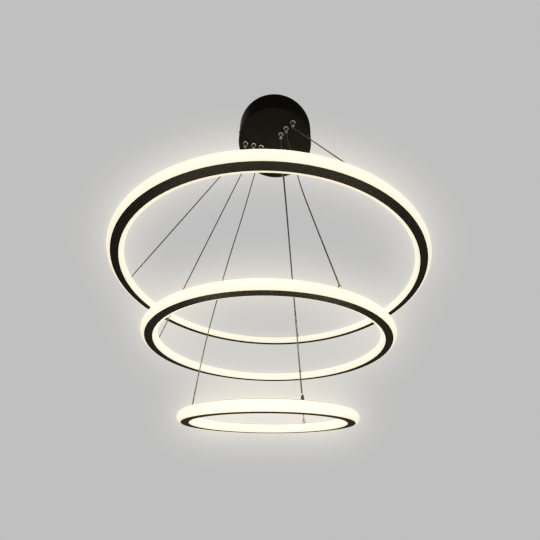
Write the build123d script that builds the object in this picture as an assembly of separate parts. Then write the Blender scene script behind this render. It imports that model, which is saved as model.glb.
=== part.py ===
from build123d import *
import math
import os

# A ceiling light of three level rings, the largest on top, each hung on three thin cables from one
# round canopy. Each ring is a rolled aluminium profile with a glowing diffuser on its outer and its
# inner side. Millimetres, +Z up. The origin is the centre of the ceiling plane, so the light is at -Z.

# ---- rings: overall diameter, drop from the ceiling to the underside, directions of the hanging points
LARGE_DIAMETER = 800.0
MEDIUM_DIAMETER = 600.0
SMALL_DIAMETER = 400.0
LARGE_DROP = 671.0
MEDIUM_DROP = 842.0
SMALL_DROP = 1018.0
LARGE_DIRECTIONS = (178.0, -52.0, 72.0)
MEDIUM_DIRECTIONS = (176.0, -67.0, 67.0)
SMALL_DIRECTIONS = (172.0, -74.0, 56.0)

# ---- section of a ring
BAND_WIDTH = 17.0
RING_HEIGHT = 22.5
BULGE = 8.8
DIFFUSER_WALL = 1.8
WALL_ARCS = 6
LIP = 0.8
FLANGE_THICKNESS = 1.8
WEB_THICKNESS = 1.2
CHANNEL_WIDTH = 7.2
SEAT_GAP = 0.1
STRIP_HEIGHT = 8.0
STRIP_BASE = 0.5
GLUE_THICKNESS = 0.15
STRIP_BEAD_HEIGHT = 3.0
STRIP_BEAD = 1.0

# ---- joint of the rolled profile
SEAM_DIRECTION = 110.0
SEAM_WIDTH = 0.3
SPLICE_LENGTH = 44.0
SPLICE_HEIGHT = 8.0
SPLICE_SCREW_RADIUS = 1.5
SPLICE_SCREW_LENGTH = 8.0
SPLICE_SCREW_OFFSETS = (-15.0, -7.0, 7.0, 15.0)
SOCKET_DEPTH = 1.5

# ---- hanging points on a ring
CONE_HEIGHT = 13.0
CONE_BASE_RADIUS = 5.0
CONE_TOP_RADIUS = 2.6
CONE_FOOT = 2.0
STUD_RADIUS = 2.0
STUD_GAP = 0.1
RING_NUT_WIDTH = 7.0
RING_NUT_HEIGHT = 3.2
STUD_TAIL = 1.2

# ---- cables and their height grippers
CABLE_RADIUS = 1.6
LARGE_GRIPPER_DIRECTIONS = (182.0, -59.0, 69.0)
MEDIUM_GRIPPER_DIRECTIONS = (180.0, -64.0, 64.0)
SMALL_GRIPPER_DIRECTIONS = (175.0, -69.0, 53.0)
GRIPPER_RIM_DISTANCE = 24.0
LARGE_TO_MEDIUM_STEP = 28.5
MEDIUM_TO_SMALL_STEP = 26.0
GRIPPER_FLANGE_RADIUS = 9.0
GRIPPER_FLANGE = 4.0
GRIPPER_BARREL_RADIUS = 6.5
GRIPPER_BARREL = 14.0
GRIPPER_NOSE_RADIUS = 4.2
GRIPPER_NOSE = 4.0
GRIPPER_EDGE = 0.6
NIPPLE_RADIUS = 5.0
NIPPLE_LENGTH = 9.0
NIPPLE_BORE_RADIUS = 2.1
CHAMBER_RADIUS = 4.6
CHAMBER_LENGTH = 12.0
GRIPPER_LIP = 3.5
PLUNGER_RADIUS = 2.5
PLUNGER_HEAD_RADIUS = 4.3
PLUNGER_HEAD = 2.5
PLUNGER_BORE_RADIUS = 1.9
PLUNGER_REACH = 6.0
PLUNGER_FIT = 0.06
SPRING_RADIUS = 3.4
SPRING_WALL = 0.5
THREAD_FIT = 0.04
GRIPPER_NUT_WIDTH = 14.0
GRIPPER_NUT_HEIGHT = 4.0
TAIL_ABOVE_NUT = 13.0
TAIL_BELOW_PLUNGER = 0.5

# ---- canopy
CANOPY_RADIUS = 127.5
CANOPY_HEIGHT = 72.0
CANOPY_WALL = 1.2
CANOPY_EDGE = 3.0
HOLE_GAP = 0.2

# ---- ceiling bracket
BRACKET_THICKNESS = 2.0
BRACKET_WIDTH = 30.0
BRACKET_TAB_HEIGHT = 18.0
BRACKET_TAB_WIDTH = 24.0
BRACKET_GAP = 1.5
SLOT_WIDTH = 5.0
X_SLOT_INSET = 22.8
X_SLOT_LENGTH = 14.0
Y_SLOT_SPACING = 130.0
Y_SLOT_LENGTH = 40.0

# ---- screws
SCREW_RADIUS = 1.95
SCREW_HEAD_RADIUS = 3.75
SCREW_HEAD = 2.4
SCREW_HEAD_SIDE = 1.4
SCREW_HEAD_FLAT_RADIUS = 3.0
SCREW_SLOT = 0.9
SCREW_SLOT_DEPTH = 1.2
SIDE_SCREW_LENGTH = 10.0
SIDE_SCREW_DROP = 11.0
TAPPING_GAP = 0.05
CEILING_GAP = 0.2

# ---- driver
DRIVER_LENGTH = 150.0
DRIVER_WIDTH = 48.0
DRIVER_HEIGHT = 30.0
DRIVER_WALL = 2.0
DRIVER_EAR = 12.0
DRIVER_EAR_WIDTH = 16.0
BOARD_THICKNESS = 1.6
BOARD_GAP = 0.5
BOARD_LIFT = 5.0
TRANSFORMER_PLACE = 1.0
TRANSFORMER_SIZE = (26.0, 24.0, 15.0)
COIL_PLACE = 46.0
COIL_SIZE = (16.0, 18.0, 12.0)
SINK_INSETS = (8.5, 14.5)
SINK_SIZE = (4.0, 32.0, 9.0)
CAPACITOR_PLACES = ((26.0, -12.0), (26.0, 4.0), (-28.0, -10.0), (-28.0, 6.0), (-44.0, -2.0))
CAPACITOR_RADIUS = 5.5
CAPACITOR_HEIGHT = 14.0

# ---- terminal block, earth screw and leads
TERMINAL_SIZE = (14.0, 18.0, 14.0)
TERMINAL_START = 28.0
TERMINAL_POLES = 3
CLAMP_RADIUS = 1.8
CLAMP_SCREW_DEPTH = 3.5
EARTH_PLACE = -36.0
LEAD_RADIUS = 1.0
FEED_RADIUS = 0.5
FEED_DROP = 3.0
FEED_STRIP_GAP = 0.35

# ---- how far a cut runs past a face, and how much of its shorter run a lead's bend may take
CUT_PAST = 1.0
BEND_SHARE = 0.45

# sizes that follow from those above
LARGE_GRIPPER_CIRCLE = CANOPY_RADIUS - GRIPPER_RIM_DISTANCE
MEDIUM_GRIPPER_CIRCLE = LARGE_GRIPPER_CIRCLE - LARGE_TO_MEDIUM_STEP
SMALL_GRIPPER_CIRCLE = MEDIUM_GRIPPER_CIRCLE - MEDIUM_TO_SMALL_STEP
BRACKET_REACH = CANOPY_RADIUS - CANOPY_WALL - BRACKET_GAP
X_SLOT_SPACING = 2 * (BRACKET_REACH - X_SLOT_INSET)
TAPPED_RADIUS = SCREW_RADIUS + TAPPING_GAP

RINGS = {
    "large": (LARGE_DIAMETER, LARGE_DROP, LARGE_DIRECTIONS),
    "medium": (MEDIUM_DIAMETER, MEDIUM_DROP, MEDIUM_DIRECTIONS),
    "small": (SMALL_DIAMETER, SMALL_DROP, SMALL_DIRECTIONS),
}
GRIPPERS = {
    "large": (LARGE_GRIPPER_CIRCLE, LARGE_GRIPPER_DIRECTIONS),
    "medium": (MEDIUM_GRIPPER_CIRCLE, MEDIUM_GRIPPER_DIRECTIONS),
    "small": (SMALL_GRIPPER_CIRCLE, SMALL_GRIPPER_DIRECTIONS),
}

# heights that several pieces share
FLOOR_TOP = CANOPY_WALL - CANOPY_HEIGHT
GRIPPER_TOP = -CANOPY_HEIGHT
GRIPPER_END = GRIPPER_TOP - GRIPPER_FLANGE - GRIPPER_BARREL - GRIPPER_NOSE
PLUNGER_SEAT = GRIPPER_END + GRIPPER_LIP
CHAMBER_TOP = PLUNGER_SEAT + CHAMBER_LENGTH
PLUNGER_END = GRIPPER_END - PLUNGER_REACH
CABLE_START = PLUNGER_END - TAIL_BELOW_PLUNGER
GRIPPER_NUT_TOP = FLOOR_TOP + GRIPPER_NUT_HEIGHT
TAIL_TOP = GRIPPER_NUT_TOP + TAIL_ABOVE_NUT
BRACKET_UNDER = -BRACKET_THICKNESS
DRIVER_BOTTOM = BRACKET_UNDER - DRIVER_HEIGHT


# ---- helpers
def polar(radius, direction):
    """The X and Y of a point at a radius and a direction in degrees."""
    angle = math.radians(direction)
    return radius * math.cos(angle), radius * math.sin(angle)


def turned(points):
    """A solid turned about Z from an outline of (radius, height) points."""
    return revolve(Plane.XZ * make_face(Polyline(*points, close=True)), Axis.Z)


def rod(radius, low, high, x=0.0, y=0.0):
    """An upright cylinder between two heights."""
    return Pos(x, y, low) * Cylinder(radius, high - low, align=(Align.CENTER, Align.CENTER, Align.MIN))


def block(x_range, y_range, z_range):
    """A box from its three ranges."""
    size = [high - low for low, high in (x_range, y_range, z_range)]
    middle = [(high + low) / 2 for low, high in (x_range, y_range, z_range)]
    return Pos(*middle) * Box(*size)


def lead(points, radius):
    """A wire through the points, its corners rounded as far as their runs allow."""
    bends = []
    for before, corner, after in zip(points, points[1:], points[2:]):
        first = Vector(*corner) - Vector(*before)
        second = Vector(*after) - Vector(*corner)
        half_turn = math.radians(first.get_angle(second)) / 2
        bends.append(BEND_SHARE * min(first.length, second.length) / math.tan(half_turn))
    path = FilletPolyline(*points, radius=bends)
    start = Plane(origin=points[0], z_dir=Vector(*points[1]) - Vector(*points[0]))
    return sweep(start * Circle(radius), path=path)


def pan_screw(length, radius=SCREW_RADIUS):
    """A slotted pan-head screw: head at +Z from 0, shank down to -length."""
    head = turned([(0, 0), (SCREW_HEAD_RADIUS, 0), (SCREW_HEAD_RADIUS, SCREW_HEAD_SIDE),
                   (SCREW_HEAD_FLAT_RADIUS, SCREW_HEAD), (0, SCREW_HEAD)])
    groove = block((-SCREW_HEAD_RADIUS, SCREW_HEAD_RADIUS), (-SCREW_SLOT / 2, SCREW_SLOT / 2),
                   (SCREW_HEAD - SCREW_SLOT_DEPTH, SCREW_HEAD + CUT_PAST))
    return head - groove + rod(radius, -length, 0)


def hex_nut(width, height, bore):
    """A hexagon nut standing on Z 0."""
    prism = extrude(RegularPolygon(radius=width / 2, side_count=6, major_radius=False), height)
    return prism - rod(bore, -CUT_PAST, height + CUT_PAST)


def write(name, solids):
    """Writes one named piece, or one group of like pieces, as a STEP file."""
    shapes = []
    for item in solids if isinstance(solids, list) else [solids]:
        shapes.extend(item.solids())
    shape = shapes[0] if len(shapes) == 1 else Compound(shapes)
    shape.label = name
    export_step(shape, f"parts/{name}.step")


# ---- a ring
def middle_radius(diameter):
    """The radius of the middle of a ring's profile."""
    return diameter / 2 - BULGE - BAND_WIDTH / 2


def frame_section():
    """The aluminium profile: two flanges with lips, and two webs with a channel between them."""
    half = RING_HEIGHT / 2
    inner_width = BAND_WIDTH - 2 * (DIFFUSER_WALL + SEAT_GAP)
    section = Sketch()
    for side in (-1, 1):
        section += Pos(0, half + side * (half - LIP / 2)) * Rectangle(BAND_WIDTH, LIP)
        flange = Rectangle(inner_width, FLANGE_THICKNESS)
        section += Pos(0, half + side * (half - FLANGE_THICKNESS / 2)) * flange
        web = Rectangle(WEB_THICKNESS, RING_HEIGHT - FLANGE_THICKNESS)
        section += Pos(side * (CHANNEL_WIDTH + WEB_THICKNESS) / 2, half) * web
    return section


def curved_wall(x_radius, y_radius, side):
    """Half an ellipse that bulges to one side, drawn as short arcs end to end."""
    step = 180 / WALL_ARCS
    starts = [step * number - 90 * side for number in range(WALL_ARCS)]
    return [EllipticalCenterArc((0, 0), x_radius, y_radius, start, arc_size=step) for start in starts]


def diffuser_section(side):
    """A C-shaped milky profile: a half ellipse outside, with a foot behind each lip of the frame."""
    half = RING_HEIGHT / 2
    rise = half - LIP
    back = -side * DIFFUSER_WALL
    edges = curved_wall(BULGE, rise, side)
    edges += curved_wall(BULGE - DIFFUSER_WALL, rise - DIFFUSER_WALL, side)
    for end in (-1, 1):
        outer, inner = end * rise, end * (rise - DIFFUSER_WALL)
        edges.append(Polyline((0, outer), (back, outer), (back, inner), (0, inner)))
    return Pos(side * BAND_WIDTH / 2, half) * make_face(edges)


def strip_section(side):
    """A flexible circuit strip on a web, with the raised line of its light-emitting layer."""
    half = RING_HEIGHT / 2
    back = CHANNEL_WIDTH / 2 + WEB_THICKNESS + GLUE_THICKNESS
    base = Pos(side * (back + STRIP_BASE / 2), half) * Rectangle(STRIP_BASE, STRIP_HEIGHT)
    bead_middle = side * (back + STRIP_BASE + STRIP_BEAD / 2)
    return base + Pos(bead_middle, half) * Rectangle(STRIP_BEAD, STRIP_BEAD_HEIGHT)


def swept_ring(section, diameter, drop):
    """A section turned into a full ring, its underside at the drop below the ceiling."""
    return revolve(Plane.XZ * Pos(middle_radius(diameter), -drop) * section, Axis.Z)


def seam_places(diameter, offsets):
    """Places along the profile's middle line, as distances from its seam, turned to its direction."""
    radius = middle_radius(diameter)
    for offset in offsets:
        direction = SEAM_DIRECTION + math.degrees(offset / radius)
        yield (*polar(radius, direction), direction)


def ring_frame(diameter, drop, points):
    """The rolled profile with its seam and its holes for studs, splice screws and feed leads."""
    frame = swept_ring(frame_section(), diameter, drop)
    radius = middle_radius(diameter)
    top = RING_HEIGHT - drop
    for direction in points:
        x, y = polar(radius, direction)
        frame -= rod(STUD_RADIUS + STUD_GAP, top - FLANGE_THICKNESS - CUT_PAST, top + CUT_PAST, x, y)
    for x, y, _ in seam_places(diameter, SPLICE_SCREW_OFFSETS):
        frame -= rod(SPLICE_SCREW_RADIUS + STUD_GAP, top - FLANGE_THICKNESS - CUT_PAST, top + CUT_PAST, x, y)
    cut = block((radius - BAND_WIDTH, radius + BAND_WIDTH), (-SEAM_WIDTH / 2, SEAM_WIDTH / 2),
                (-drop - CUT_PAST, top + CUT_PAST))
    frame -= Rot(0, 0, SEAM_DIRECTION) * cut
    for _, _, end in feed_places(diameter, drop, points):
        across = Pos(*end) * Rot(0, 0, points[0]) * Rot(0, 90, 0)
        frame -= across * Cylinder(FEED_RADIUS + STUD_GAP, 4 * WEB_THICKNESS)
    return frame


def feed_places(diameter, drop, points):
    """The three points of both feed leads: under the stud, in the channel, and close behind the strip."""
    radius = middle_radius(diameter)
    strip_back = CHANNEL_WIDTH / 2 + WEB_THICKNESS + GLUE_THICKNESS
    high = RING_HEIGHT - drop - FLANGE_THICKNESS - RING_NUT_HEIGHT - STUD_TAIL
    low = high - FEED_DROP
    for side in (-1, 1):
        spread = side * STUD_RADIUS / 2
        middle_x, middle_y = polar(radius, points[0])
        along_x, along_y = polar(spread, points[0] + 90)
        across_x, across_y = polar(side * (strip_back - FEED_STRIP_GAP), points[0])
        x, y = middle_x + along_x, middle_y + along_y
        yield (x, y, high), (x, y, low), (x + across_x, y + across_y, low)


def feed_leads(diameter, drop, points):
    """Two short wires from the first hanging point, through the webs, to the two strips."""
    return [lead(places, FEED_RADIUS) for places in feed_places(diameter, drop, points)]


def splice_block(diameter, drop):
    """The arc-shaped bar in the channel that holds the two ends of the profile together."""
    top = RING_HEIGHT - FLANGE_THICKNESS - SEAT_GAP
    hole = rod(SPLICE_SCREW_RADIUS + THREAD_FIT, top - SPLICE_HEIGHT - CUT_PAST, top + CUT_PAST)
    bar_width = CHANNEL_WIDTH - 2 * SEAT_GAP
    section = Pos(0, top - SPLICE_HEIGHT / 2) * Rectangle(bar_width, SPLICE_HEIGHT)
    angle = math.degrees(SPLICE_LENGTH / middle_radius(diameter))
    placed = Plane.XZ * Pos(middle_radius(diameter), -drop) * section
    bar = revolve(Rot(0, 0, SEAM_DIRECTION - angle / 2) * placed, Axis.Z, angle)
    for x, y, _ in seam_places(diameter, SPLICE_SCREW_OFFSETS):
        bar -= Pos(x, y, -drop) * hole
    return bar


def splice_screws(diameter, drop):
    """Four grub screws, flush with the top of the frame, that clamp the splice bar."""
    top = RING_HEIGHT - drop - LIP / 2
    screws = []
    for x, y, direction in seam_places(diameter, SPLICE_SCREW_OFFSETS):
        hexagon = RegularPolygon(radius=SPLICE_SCREW_RADIUS / 2, side_count=6)
        socket = extrude(hexagon, SOCKET_DEPTH + CUT_PAST)
        screw = rod(SPLICE_SCREW_RADIUS, top - SPLICE_SCREW_LENGTH, top, x, y)
        screws.append(screw - Pos(x, y, top - SOCKET_DEPTH) * Rot(0, 0, direction) * socket)
    return screws


def cable_cones(diameter, drop, points):
    """Three small cones on top of the ring, each with the stud that goes through the frame."""
    top = RING_HEIGHT - drop
    stud_end = -FLANGE_THICKNESS - RING_NUT_HEIGHT - STUD_TAIL
    cone = turned([(0, stud_end), (STUD_RADIUS, stud_end), (STUD_RADIUS, 0), (CONE_BASE_RADIUS, 0),
                   (CONE_BASE_RADIUS, CONE_FOOT), (CONE_TOP_RADIUS, CONE_HEIGHT), (0, CONE_HEIGHT)])
    return [Pos(*polar(middle_radius(diameter), direction), top) * cone for direction in points]


def cone_nuts(diameter, drop, points):
    """The nuts on the studs, held from turning by the sides of the channel."""
    under = RING_HEIGHT - drop - FLANGE_THICKNESS - RING_NUT_HEIGHT
    nut = hex_nut(RING_NUT_WIDTH, RING_NUT_HEIGHT, STUD_RADIUS + THREAD_FIT)
    return [Pos(*polar(middle_radius(diameter), direction), under) * Rot(0, 0, direction + 30) * nut
            for direction in points]


def cable(diameter, drop, direction, gripper_place):
    """A tight cable from the mouth of its gripper to the top of its cone, cut level at both ends."""
    x_low, y_low = polar(middle_radius(diameter), direction)
    x_high, y_high = gripper_place
    z_low = RING_HEIGHT - drop + CONE_HEIGHT
    ends = [Wire.make_circle(CABLE_RADIUS, Plane((x_high, y_high, CABLE_START))),
            Wire.make_circle(CABLE_RADIUS, Plane((x_low, y_low, z_low)))]
    return Solid.make_loft(ends, ruled=True)


def make_ring(name, diameter, drop, points):
    """All pieces of one ring, with its three cables."""
    write(f"{name}_frame", ring_frame(diameter, drop, points))
    write(f"{name}_outer_diffuser", swept_ring(diffuser_section(1), diameter, drop))
    write(f"{name}_inner_diffuser", swept_ring(diffuser_section(-1), diameter, drop))
    strips = [swept_ring(strip_section(side), diameter, drop) for side in (-1, 1)]
    write(f"{name}_led_strips", strips)
    write(f"{name}_splice_block", splice_block(diameter, drop))
    write(f"{name}_splice_screws", splice_screws(diameter, drop))
    write(f"{name}_cable_cones", cable_cones(diameter, drop, points))
    write(f"{name}_cone_nuts", cone_nuts(diameter, drop, points))
    write(f"{name}_feed_leads", feed_leads(diameter, drop, points))
    for number, (direction, place) in enumerate(zip(points, gripper_places(name)), 1):
        write(f"{name}_cable_{number}", cable(diameter, drop, direction, place))
        write(f"{name}_plunger_{number}", Pos(*place, 0) * plunger())


# ---- grippers
def gripper_places(name):
    """The places of one ring's three grippers on the canopy's floor."""
    circle, directions = GRIPPERS[name]
    return [polar(circle, direction) for direction in directions]


def all_gripper_places():
    """The places of all nine grippers."""
    return [place for name in GRIPPERS for place in gripper_places(name)]


def gripper_body():
    """A turned gripper: flange, barrel, nose and threaded nipple, hollow for its plunger."""
    flange_end = GRIPPER_TOP - GRIPPER_FLANGE
    barrel_end = flange_end - GRIPPER_BARREL
    outside = turned([
        (0, GRIPPER_TOP + NIPPLE_LENGTH), (NIPPLE_RADIUS, GRIPPER_TOP + NIPPLE_LENGTH),
        (NIPPLE_RADIUS, GRIPPER_TOP), (GRIPPER_FLANGE_RADIUS, GRIPPER_TOP),
        (GRIPPER_FLANGE_RADIUS, flange_end + GRIPPER_EDGE),
        (GRIPPER_FLANGE_RADIUS - GRIPPER_EDGE, flange_end), (GRIPPER_BARREL_RADIUS, flange_end),
        (GRIPPER_BARREL_RADIUS, barrel_end), (GRIPPER_NOSE_RADIUS, GRIPPER_END), (0, GRIPPER_END)])
    hollow = rod(CHAMBER_RADIUS, PLUNGER_SEAT, CHAMBER_TOP)
    hollow += rod(PLUNGER_RADIUS + PLUNGER_FIT, GRIPPER_END - CUT_PAST, PLUNGER_SEAT + CUT_PAST)
    hollow += rod(NIPPLE_BORE_RADIUS, CHAMBER_TOP - CUT_PAST, GRIPPER_TOP + NIPPLE_LENGTH + CUT_PAST)
    return outside - hollow


def plunger():
    """The release plunger: pushed up, it frees the cable that runs through it."""
    head_top = PLUNGER_SEAT + PLUNGER_HEAD
    outside = rod(PLUNGER_RADIUS, PLUNGER_END, head_top)
    outside += rod(PLUNGER_HEAD_RADIUS, PLUNGER_SEAT, head_top)
    return outside - rod(PLUNGER_BORE_RADIUS, PLUNGER_END - CUT_PAST, head_top + CUT_PAST)


def gripper_spring():
    """The space of the return spring, as a plain sleeve from the plunger to the chamber's top."""
    low = PLUNGER_SEAT + PLUNGER_HEAD
    sleeve = rod(SPRING_RADIUS, low, CHAMBER_TOP)
    return sleeve - rod(SPRING_RADIUS - SPRING_WALL, low - CUT_PAST, CHAMBER_TOP + CUT_PAST)


def make_grippers():
    """Bodies, nuts, springs and the cable tails that come through them into the canopy."""
    places = [Pos(x, y, 0) for x, y in all_gripper_places()]
    nut = Pos(0, 0, FLOOR_TOP) * hex_nut(GRIPPER_NUT_WIDTH, GRIPPER_NUT_HEIGHT, NIPPLE_RADIUS + THREAD_FIT)
    tail = rod(CABLE_RADIUS, CABLE_START, TAIL_TOP)
    write("gripper_bodies", [place * gripper_body() for place in places])
    write("gripper_nuts", [place * nut for place in places])
    write("gripper_springs", [place * gripper_spring() for place in places])
    write("cable_tails", [place * tail for place in places])


# ---- canopy
def canopy_shell():
    """The round cup against the ceiling, with its gripper and side-screw holes."""
    wall, edge, low = CANOPY_WALL, CANOPY_EDGE, -CANOPY_HEIGHT
    inside = CANOPY_RADIUS - wall
    section = make_face([
        Line((0, low), (CANOPY_RADIUS - edge, low)),
        RadiusArc((CANOPY_RADIUS - edge, low), (CANOPY_RADIUS, low + edge), -edge),
        Line((CANOPY_RADIUS, low + edge), (CANOPY_RADIUS, 0)),
        Line((CANOPY_RADIUS, 0), (inside, 0)),
        Line((inside, 0), (inside, low + edge)),
        RadiusArc((inside, low + edge), (CANOPY_RADIUS - edge, low + wall), edge - wall),
        Line((CANOPY_RADIUS - edge, low + wall), (0, low + wall)),
        Line((0, low + wall), (0, low)),
    ])
    shell = revolve(Plane.XZ * section, Axis.Z)
    for x, y in all_gripper_places():
        shell -= rod(NIPPLE_RADIUS + HOLE_GAP, low - CUT_PAST, low + wall + CUT_PAST, x, y)
    for turn in range(4):
        across = Rot(0, 0, 90 * turn) * Pos(CANOPY_RADIUS, 0, -SIDE_SCREW_DROP) * Rot(0, 90, 0)
        shell -= across * Cylinder(SCREW_RADIUS + HOLE_GAP, 4 * wall)
    return shell


def side_screws():
    """Four screws through the wall of the canopy into the tabs of the bracket."""
    screw = Rot(0, 90, 0) * pan_screw(SIDE_SCREW_LENGTH)
    return [Rot(0, 0, 90 * turn) * Pos(CANOPY_RADIUS, 0, -SIDE_SCREW_DROP) * screw for turn in range(4)]


def slot(spacing, length, turn):
    """Two slots at a spacing, along the arm at that turn."""
    straight = length - SLOT_WIDTH
    hole = extrude(SlotCenterToCenter(straight, SLOT_WIDTH), 3 * BRACKET_THICKNESS, both=True)
    return [Rot(0, 0, turn) * Pos(side * spacing / 2, 0, 0) * hole for side in (-1, 1)]


def ceiling_bracket():
    """A flat steel cross under the ceiling, each arm ending in a tapped tab that is bent down."""
    cross = Sketch() + Rectangle(2 * BRACKET_REACH, BRACKET_WIDTH)
    cross += Rectangle(BRACKET_WIDTH, 2 * BRACKET_REACH)
    bracket = extrude(cross, -BRACKET_THICKNESS)
    tab = block((BRACKET_REACH - BRACKET_THICKNESS, BRACKET_REACH),
                (-BRACKET_TAB_WIDTH / 2, BRACKET_TAB_WIDTH / 2), (-BRACKET_TAB_HEIGHT, 0))
    tapped = Rot(0, 90, 0) * Cylinder(TAPPED_RADIUS, 4 * BRACKET_THICKNESS)
    tab -= Pos(BRACKET_REACH, 0, -SIDE_SCREW_DROP) * tapped
    for turn in range(4):
        bracket += Rot(0, 0, 90 * turn) * tab
    for hole in slot(X_SLOT_SPACING, X_SLOT_LENGTH, 0) + slot(Y_SLOT_SPACING, Y_SLOT_LENGTH, 90):
        bracket -= hole
    for x in driver_screw_places():
        bracket -= rod(TAPPED_RADIUS, BRACKET_UNDER - CUT_PAST, CUT_PAST, x, 0)
    bracket -= rod(TAPPED_RADIUS, BRACKET_UNDER - CUT_PAST, CUT_PAST, 0, EARTH_PLACE)
    return bracket


# ---- driver
def driver_screw_places():
    """X of the two screws that hold the driver under the bracket."""
    return [side * (DRIVER_LENGTH + DRIVER_EAR) / 2 for side in (-1, 1)]


def driver_case():
    """A plastic tray, open below, with an ear at each end against the bracket."""
    half_length, half_width = DRIVER_LENGTH / 2, DRIVER_WIDTH / 2
    case = block((-half_length, half_length), (-half_width, half_width), (DRIVER_BOTTOM, BRACKET_UNDER))
    case -= block((DRIVER_WALL - half_length, half_length - DRIVER_WALL),
                  (DRIVER_WALL - half_width, half_width - DRIVER_WALL),
                  (DRIVER_BOTTOM - CUT_PAST, BRACKET_UNDER - DRIVER_WALL))
    for x in driver_screw_places():
        case += block((x - DRIVER_EAR / 2, x + DRIVER_EAR / 2), (-DRIVER_EAR_WIDTH / 2, DRIVER_EAR_WIDTH / 2),
                      (BRACKET_UNDER - DRIVER_WALL, BRACKET_UNDER))
    for x in driver_screw_places():
        case -= rod(SCREW_RADIUS + HOLE_GAP, BRACKET_UNDER - DRIVER_WALL - CUT_PAST, 0, x, 0)
    return case


def driver_cover():
    """The lid that closes the tray from below, with a rim inside its walls."""
    half_length, half_width = DRIVER_LENGTH / 2, DRIVER_WIDTH / 2
    lid = block((-half_length, half_length), (-half_width, half_width),
                (DRIVER_BOTTOM - DRIVER_WALL, DRIVER_BOTTOM))
    inset = DRIVER_WALL + SEAT_GAP
    rim = block((inset - half_length, half_length - inset), (inset - half_width, half_width - inset),
                (DRIVER_BOTTOM, DRIVER_BOTTOM + BOARD_LIFT))
    inset += DRIVER_WALL
    rim -= block((inset - half_length, half_length - inset), (inset - half_width, half_width - inset),
                 (DRIVER_BOTTOM - CUT_PAST, DRIVER_BOTTOM + BOARD_LIFT + CUT_PAST))
    return lid + rim


def driver_board():
    """The circuit board on the lid's rim, with its transformer, coil, capacitors and switches."""
    inset = DRIVER_WALL + BOARD_GAP
    half_length, half_width = DRIVER_LENGTH / 2 - inset, DRIVER_WIDTH / 2 - inset
    low = DRIVER_BOTTOM + BOARD_LIFT
    top = low + BOARD_THICKNESS
    board = block((-half_length, half_length), (-half_width, half_width), (low, top))
    standing = [(TRANSFORMER_PLACE, TRANSFORMER_SIZE), (COIL_PLACE, COIL_SIZE)]
    standing += [(inset - half_length, SINK_SIZE) for inset in SINK_INSETS]
    for x, (length, width, height) in standing:
        board += block((x - length / 2, x + length / 2), (-width / 2, width / 2), (top, top + height))
    for x, y in CAPACITOR_PLACES:
        board += rod(CAPACITOR_RADIUS, top, top + CAPACITOR_HEIGHT, x, y)
    return board


def driver_screws():
    """The two screws through the driver's ears into the bracket."""
    screw = Rot(180, 0, 0) * pan_screw(BRACKET_THICKNESS + DRIVER_WALL - CEILING_GAP)
    return [Pos(x, 0, BRACKET_UNDER - DRIVER_WALL) * screw for x in driver_screw_places()]


# ---- wiring
def terminal_block():
    """The block under the bracket where the house wiring ends, with a row of clamp openings."""
    width, length, height = TERMINAL_SIZE
    body = block((-width / 2, width / 2), (TERMINAL_START, TERMINAL_START + length),
                 (BRACKET_UNDER - height, BRACKET_UNDER))
    pitch = length / TERMINAL_POLES
    for pole in range(TERMINAL_POLES):
        y = TERMINAL_START + pitch * (pole + 0.5)
        entry = Pos(-width / 2, y, BRACKET_UNDER - height / 2) * Rot(0, 90, 0)
        body -= entry * Cylinder(CLAMP_RADIUS, width)
        under = BRACKET_UNDER - height
        body -= rod(CLAMP_RADIUS, under - CUT_PAST, under + CLAMP_SCREW_DEPTH, 0, y)
    return body


def earth_screw():
    """The earth terminal: a screw into the bracket."""
    screw = Rot(180, 0, 0) * pan_screw(BRACKET_THICKNESS - CEILING_GAP)
    return Pos(0, EARTH_PLACE, BRACKET_UNDER) * screw


def mains_leads():
    """Two wires from the terminal block round to the input end of the driver."""
    width, length, height = TERMINAL_SIZE
    pitch = length / TERMINAL_POLES
    end_x = DRIVER_LENGTH / 2
    leads = []
    for pole in (0, 1):
        y = TERMINAL_START + pitch * (pole + 0.5)
        z = BRACKET_UNDER - height / 2
        outer = end_x + 14 + 4 * pole
        leads.append(lead([(width / 2, y, z), (outer - 26, y, z), (outer, y - 8, z - 3),
                           (outer + 2, y - 28, z - 9), (outer - 8, 4 + 5 * pole, z - 11),
                           (end_x, 4 + 5 * pole, z - 11)], LEAD_RADIUS))
    return leads


def output_leads():
    """Three wires from the output end of the driver to the power cables of the three rings."""
    end_x = -DRIVER_LENGTH / 2
    z = BRACKET_UNDER - DRIVER_HEIGHT / 2
    under = DRIVER_BOTTOM - DRIVER_WALL - 4
    large, medium, small = [gripper_places(name)[0] for name in GRIPPERS]
    routes = [
        [(end_x, 9, z), (end_x - 14, 9, z), (*large, z - 18), (*large, TAIL_TOP)],
        [(end_x, 2, z), (end_x - 13, 2, z), (end_x - 12, 0, under + 6), (*medium, under - 2),
         (*medium, TAIL_TOP)],
        [(end_x, -9, z), (end_x - 12, -9, z), (end_x - 10, -8, under + 3), (small[0] - 12, small[1], under),
         (small[0], small[1], under - 3), (*small, TAIL_TOP)],
    ]
    return [lead(route, LEAD_RADIUS) for route in routes]


def make_canopy():
    """The fixed pieces at the ceiling."""
    write("ceiling_bracket", ceiling_bracket())
    write("canopy_shell", canopy_shell())
    write("canopy_side_screws", side_screws())
    write("driver_case", driver_case())
    write("driver_cover", driver_cover())
    write("driver_board", driver_board())
    write("driver_screws", driver_screws())
    write("terminal_block", terminal_block())
    write("earth_screw", earth_screw())
    write("mains_leads", mains_leads())
    write("output_leads", output_leads())


os.makedirs("parts", exist_ok=True)
make_canopy()
make_grippers()
for ring_name, (diameter, drop, points) in RINGS.items():
    make_ring(ring_name, diameter, drop, points)
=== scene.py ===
import math

import bpy
from mathutils import Matrix, Vector


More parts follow.
